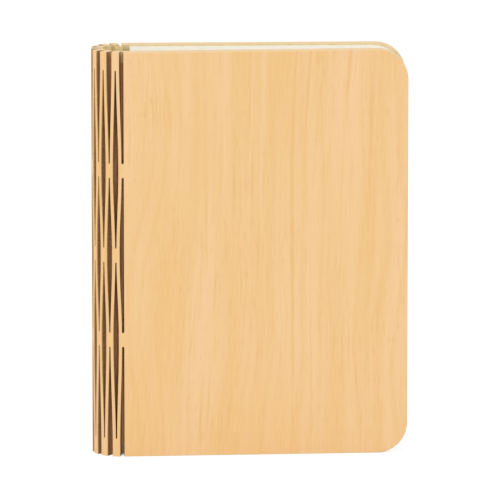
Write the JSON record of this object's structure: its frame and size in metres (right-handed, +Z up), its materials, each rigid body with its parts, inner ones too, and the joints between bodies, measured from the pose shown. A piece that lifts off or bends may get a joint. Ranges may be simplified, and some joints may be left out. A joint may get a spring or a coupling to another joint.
{
  "type": "folding book lamp",
  "caption": "Book-shaped lamp: two wooden covers, a slotted wooden spine that bends, folded paper leaves and an inner light bar.",
  "frame": {"origin": "bottom centre of the closed book, standing on its foot", "axes": "+Z up along the spine, +X towards the fore edge, -Y is the front cover's side"},
  "size_m": [0.1649, 0.0306, 0.215],
  "materials": {
    "veneered_board": "satin maple veneer over a brown board core, laser-charred on the cut edges",
    "lining_paper": "matte",
    "leaf_paper": "matte fibrous sheet",
    "magnet": "nickel plated",
    "bar_aluminium": "light bronze anodised, satin",
    "diffuser": "opal",
    "led_board": "white solder mask",
    "diode": "phosphor yellow",
    "cell_foil": "laminated foil",
    "lead_red": "silicone",
    "control_board": "green solder mask",
    "socket_steel": "tinned",
    "cap_plastic": "khaki, fine moulded texture",
    "screw_steel": "zinc plated",
    "pad_foam": "foam tape"
  },
  "bodies": {
    "front_fold_6": {"strip_1": "veneered_board", "page_1": "leaf_paper"},
    "front_fold_5": {"strip_2": "veneered_board", "page_2": "leaf_paper"},
    "front_fold_4": {"strip_3": "veneered_board", "page_3": "leaf_paper"},
    "front_fold_3": {"strip_4": "veneered_board", "page_4": "leaf_paper"},
    "front_fold_2": {"strip_5": "veneered_board", "page_5": "leaf_paper"},
    "front_fold_1": {"strip_6": "veneered_board", "page_6": "leaf_paper"},
    "spine_middle": {"strip_7": "veneered_board", "page_7": "leaf_paper", "bar_housing": "bar_aluminium", "bar_diffuser": "diffuser", "led_board": "led_board", "leds": "diode", "battery_cells": "cell_foil", "battery_leads": "lead_red", "control_board": "control_board", "charging_socket": "socket_steel", "top_cap": "cap_plastic", "bottom_cap": "cap_plastic", "cap_screws": "screw_steel", "mounting_pads": "pad_foam"},
    "back_fold_1": {"strip_8": "veneered_board", "page_8": "leaf_paper"},
    "back_fold_2": {"strip_9": "veneered_board", "page_9": "leaf_paper"},
    "back_fold_3": {"strip_10": "veneered_board", "page_10": "leaf_paper"},
    "back_fold_4": {"strip_11": "veneered_board", "page_11": "leaf_paper"},
    "back_fold_5": {"strip_12": "veneered_board", "page_12": "leaf_paper"},
    "back_fold_6": {"strip_13": "veneered_board", "page_13": "leaf_paper"},
    "front_board": {"front_cover": "veneered_board", "front_lining": "lining_paper", "front_magnets": "magnet"},
    "back_board": {"back_cover": "veneered_board", "back_lining": "lining_paper", "back_magnets": "magnet"}
  },
  "joints": [
    {"name": "open_back_1", "type": "hinge", "parent": "spine_middle", "child": "back_fold_1", "pos_m": [-0.07944, 0.00139, 0.1075], "axis": [0, 0, 1], "range_deg": [0, 26.3]},
    {"name": "open_back_2", "type": "hinge", "parent": "back_fold_1", "child": "back_fold_2", "pos_m": [-0.07881, 0.00409, 0.1075], "axis": [0, 0, 1], "range_deg": [0, 26.3]},
    {"name": "open_back_3", "type": "hinge", "parent": "back_fold_2", "child": "back_fold_3", "pos_m": [-0.07759, 0.00659, 0.1075], "axis": [0, 0, 1], "range_deg": [0, 26.3]},
    {"name": "open_back_4", "type": "hinge", "parent": "back_fold_3", "child": "back_fold_4", "pos_m": [-0.07585, 0.00874, 0.1075], "axis": [0, 0, 1], "range_deg": [0, 26.3]},
    {"name": "open_back_5", "type": "hinge", "parent": "back_fold_4", "child": "back_fold_5", "pos_m": [-0.07366, 0.01045, 0.1075], "axis": [0, 0, 1], "range_deg": [0, 26.3]},
    {"name": "open_back_6", "type": "hinge", "parent": "back_fold_5", "child": "back_fold_6", "pos_m": [-0.07115, 0.01162, 0.1075], "axis": [0, 0, 1], "range_deg": [0, 26.3]},
    {"name": "open_back_7", "type": "hinge", "parent": "back_fold_6", "child": "back_board", "pos_m": [-0.06843, 0.0122, 0.1075], "axis": [0, 0, 1], "range_deg": [0, 26.3]},
    {"name": "open_front_1", "type": "hinge", "parent": "spine_middle", "child": "front_fold_1", "pos_m": [-0.07944, -0.00139, 0.1075], "axis": [0, 0, -1], "range_deg": [0, 26.3]},
    {"name": "open_front_2", "type": "hinge", "parent": "front_fold_1", "child": "front_fold_2", "pos_m": [-0.07881, -0.00409, 0.1075], "axis": [0, 0, -1], "range_deg": [0, 26.3]},
    {"name": "open_front_3", "type": "hinge", "parent": "front_fold_2", "child": "front_fold_3", "pos_m": [-0.07759, -0.00659, 0.1075], "axis": [0, 0, -1], "range_deg": [0, 26.3]},
    {"name": "open_front_4", "type": "hinge", "parent": "front_fold_3", "child": "front_fold_4", "pos_m": [-0.07585, -0.00874, 0.1075], "axis": [0, 0, -1], "range_deg": [0, 26.3]},
    {"name": "open_front_5", "type": "hinge", "parent": "front_fold_4", "child": "front_fold_5", "pos_m": [-0.07366, -0.01045, 0.1075], "axis": [0, 0, -1], "range_deg": [0, 26.3]},
    {"name": "open_front_6", "type": "hinge", "parent": "front_fold_5", "child": "front_fold_6", "pos_m": [-0.07115, -0.01162, 0.1075], "axis": [0, 0, -1], "range_deg": [0, 26.3]},
    {"name": "open_front_7", "type": "hinge", "parent": "front_fold_6", "child": "front_board", "pos_m": [-0.06843, -0.0122, 0.1075], "axis": [0, 0, -1], "range_deg": [0, 26.3]}
  ],
  "couplings": [
    {"joint": "open_back_2", "follows": "open_back_1", "ratio": 1},
    {"joint": "open_back_3", "follows": "open_back_1", "ratio": 1},
    {"joint": "open_back_4", "follows": "open_back_1", "ratio": 1},
    {"joint": "open_back_5", "follows": "open_back_1", "ratio": 1},
    {"joint": "open_back_6", "follows": "open_back_1", "ratio": 1},
    {"joint": "open_back_7", "follows": "open_back_1", "ratio": 1},
    {"joint": "open_front_1", "follows": "open_back_1", "ratio": 1},
    {"joint": "open_front_2", "follows": "open_back_1", "ratio": 1},
    {"joint": "open_front_3", "follows": "open_back_1", "ratio": 1},
    {"joint": "open_front_4", "follows": "open_back_1", "ratio": 1},
    {"joint": "open_front_5", "follows": "open_back_1", "ratio": 1},
    {"joint": "open_front_6", "follows": "open_back_1", "ratio": 1},
    {"joint": "open_front_7", "follows": "open_back_1", "ratio": 1}
  ]
}
